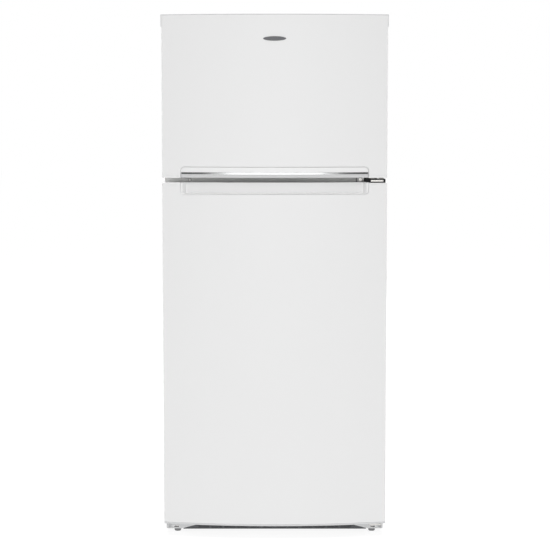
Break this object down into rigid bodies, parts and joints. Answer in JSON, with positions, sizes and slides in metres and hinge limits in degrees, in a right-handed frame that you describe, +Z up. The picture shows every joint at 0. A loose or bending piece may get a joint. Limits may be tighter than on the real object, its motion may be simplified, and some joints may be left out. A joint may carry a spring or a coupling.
{
  "type": "top freezer refrigerator",
  "caption": "White freestanding refrigerator with a freezer door above a taller fridge door, bowed fronts, pocket handles at the gap and a chrome strip.",
  "frame": {"origin": "on the floor, in the middle of the overall width and depth", "axes": "+Z up, -Y towards the doors, +X towards the door hinges"},
  "size_m": [0.714, 0.73, 1.668],
  "materials": {
    "painted_steel": "smooth gloss enamel",
    "white_plastic": "satin",
    "cap_plastic": "satin",
    "liner_plastic": "satin",
    "foam_core": "rigid foam",
    "galvanised_steel": "zinc coated",
    "rail_paint": "satin",
    "hinge_steel": "nickel plated",
    "dark_plastic": "fine texture",
    "chrome_trim": "polished",
    "seal_rubber": "matt",
    "black_steel": "semi-gloss",
    "bare_aluminium": "mill finish",
    "coated_wire": "vinyl coated",
    "shelf_glass": "clear",
    "clear_plastic": "clear"
  },
  "bodies": {
    "cabinet": {"cabinet_wrapper": "painted_steel", "top_hinge_cover": "white_plastic", "left_base_cover": "cap_plastic", "right_base_cover": "cap_plastic", "drain_pan": "cap_plastic", "freezer_liner": "liner_plastic", "fridge_liner": "liner_plastic", "evaporator_cover": "liner_plastic", "control_housing": "liner_plastic", "crisper_cover_frame": "liner_plastic", "cabinet_foam": "foam_core", "rear_panel": "galvanised_steel", "base_frame": "galvanised_steel", "machine_cover": "galvanised_steel", "mullion_rail": "rail_paint", "top_hinge": "hinge_steel", "centre_hinge": "hinge_steel", "bottom_hinge": "hinge_steel", "rear_axle": "hinge_steel", "base_grille": "dark_plastic", "fan_shroud": "dark_plastic", "power_inlet": "dark_plastic", "compressor": "black_steel", "condenser_coil": "black_steel", "evaporator_coil": "bare_aluminium", "freezer_shelf": "coated_wire", "upper_shelf": "shelf_glass", "lower_shelf": "shelf_glass", "crisper_cover_glass": "shelf_glass"},
    "freezer_door": {"freezer_door_panel": "painted_steel", "freezer_door_foam": "foam_core", "freezer_door_liner": "liner_plastic", "freezer_door_top_cap": "cap_plastic", "freezer_door_bottom_cap": "white_plastic", "freezer_handle_trim": "chrome_trim", "freezer_gasket": "seal_rubber", "freezer_upper_bin": "clear_plastic", "freezer_lower_bin": "clear_plastic"},
    "fridge_door": {"fridge_door_panel": "painted_steel", "fridge_door_foam": "foam_core", "fridge_door_liner": "liner_plastic", "fridge_door_top_cap": "white_plastic", "fridge_door_bottom_cap": "cap_plastic", "fridge_gasket": "seal_rubber", "lower_bin": "clear_plastic", "middle_bin": "clear_plastic", "dairy_bin": "clear_plastic"},
    "evaporator_fan": {"evaporator_fan": "dark_plastic"},
    "condenser_fan": {"condenser_fan": "dark_plastic"},
    "fridge_knob": {"fridge_knob": "white_plastic"},
    "freezer_knob": {"freezer_knob": "white_plastic"},
    "left_crisper": {"left_crisper": "clear_plastic"},
    "right_crisper": {"right_crisper": "clear_plastic"},
    "left_humidity_slider": {"left_humidity_slider": "dark_plastic"},
    "right_humidity_slider": {"right_humidity_slider": "dark_plastic"},
    "left_foot": {"left_foot": "dark_plastic"},
    "right_foot": {"right_foot": "dark_plastic"},
    "left_roller": {"left_roller": "dark_plastic"},
    "right_roller": {"right_roller": "dark_plastic"},
    "dairy_lid": {"dairy_lid": "clear_plastic"}
  },
  "joints": [
    {"name": "freezer_door_hinge", "type": "hinge", "parent": "cabinet", "child": "freezer_door", "pos_m": [0.327, -0.3, 1.15], "axis": [0, 0, 1], "range_deg": [0, 110]},
    {"name": "fridge_door_hinge", "type": "hinge", "parent": "cabinet", "child": "fridge_door", "pos_m": [0.327, -0.3, 1.15], "axis": [0, 0, 1], "range_deg": [0, 110]},
    {"name": "left_crisper_slide", "type": "slide", "parent": "cabinet", "child": "left_crisper", "axis": [0, -1, 0], "range_m": [0, 0.08]},
    {"name": "right_crisper_slide", "type": "slide", "parent": "cabinet", "child": "right_crisper", "axis": [0, -1, 0], "range_m": [0, 0.08]},
    {"name": "left_humidity_slide", "type": "slide", "parent": "cabinet", "child": "left_humidity_slider", "axis": [1, 0, 0], "range_m": [-0.015, 0.015]},
    {"name": "right_humidity_slide", "type": "slide", "parent": "cabinet", "child": "right_humidity_slider", "axis": [1, 0, 0], "range_m": [-0.015, 0.015]},
    {"name": "fridge_knob_turn", "type": "hinge", "parent": "cabinet", "child": "fridge_knob", "pos_m": [0, -0.06, 1.093], "axis": [0, -1, 0], "range_deg": [0, 280]},
    {"name": "freezer_knob_turn", "type": "hinge", "parent": "cabinet", "child": "freezer_knob", "pos_m": [-0.18, 0.226, 1.29], "axis": [0, -1, 0], "range_deg": [0, 280]},
    {"name": "dairy_lid_hinge", "type": "hinge", "parent": "fridge_door", "child": "dairy_lid", "pos_m": [-0.13575, -0.177, 1.012], "axis": [1, 0, 0], "range_deg": [0, 95]},
    {"name": "left_foot_turn", "type": "hinge", "parent": "cabinet", "child": "left_foot", "pos_m": [-0.317, -0.232, 0], "axis": [0, 0, 1], "continuous": true},
    {"name": "right_foot_turn", "type": "hinge", "parent": "cabinet", "child": "right_foot", "pos_m": [0.317, -0.232, 0], "axis": [0, 0, 1], "continuous": true},
    {"name": "left_roller_spin", "type": "hinge", "parent": "cabinet", "child": "left_roller", "pos_m": [-0.322, 0.325, 0.02], "axis": [1, 0, 0], "continuous": true},
    {"name": "right_roller_spin", "type": "hinge", "parent": "cabinet", "child": "right_roller", "pos_m": [0.322, 0.325, 0.02], "axis": [1, 0, 0], "continuous": true},
    {"name": "evaporator_fan_spin", "type": "hinge", "parent": "cabinet", "child": "evaporator_fan", "pos_m": [0, 0.246, 1.49], "axis": [0, 1, 0], "continuous": true},
    {"name": "condenser_fan_spin", "type": "hinge", "parent": "cabinet", "child": "condenser_fan", "pos_m": [-0.042, 0.268, 0.118], "axis": [1, 0, 0], "continuous": true}
  ]
}
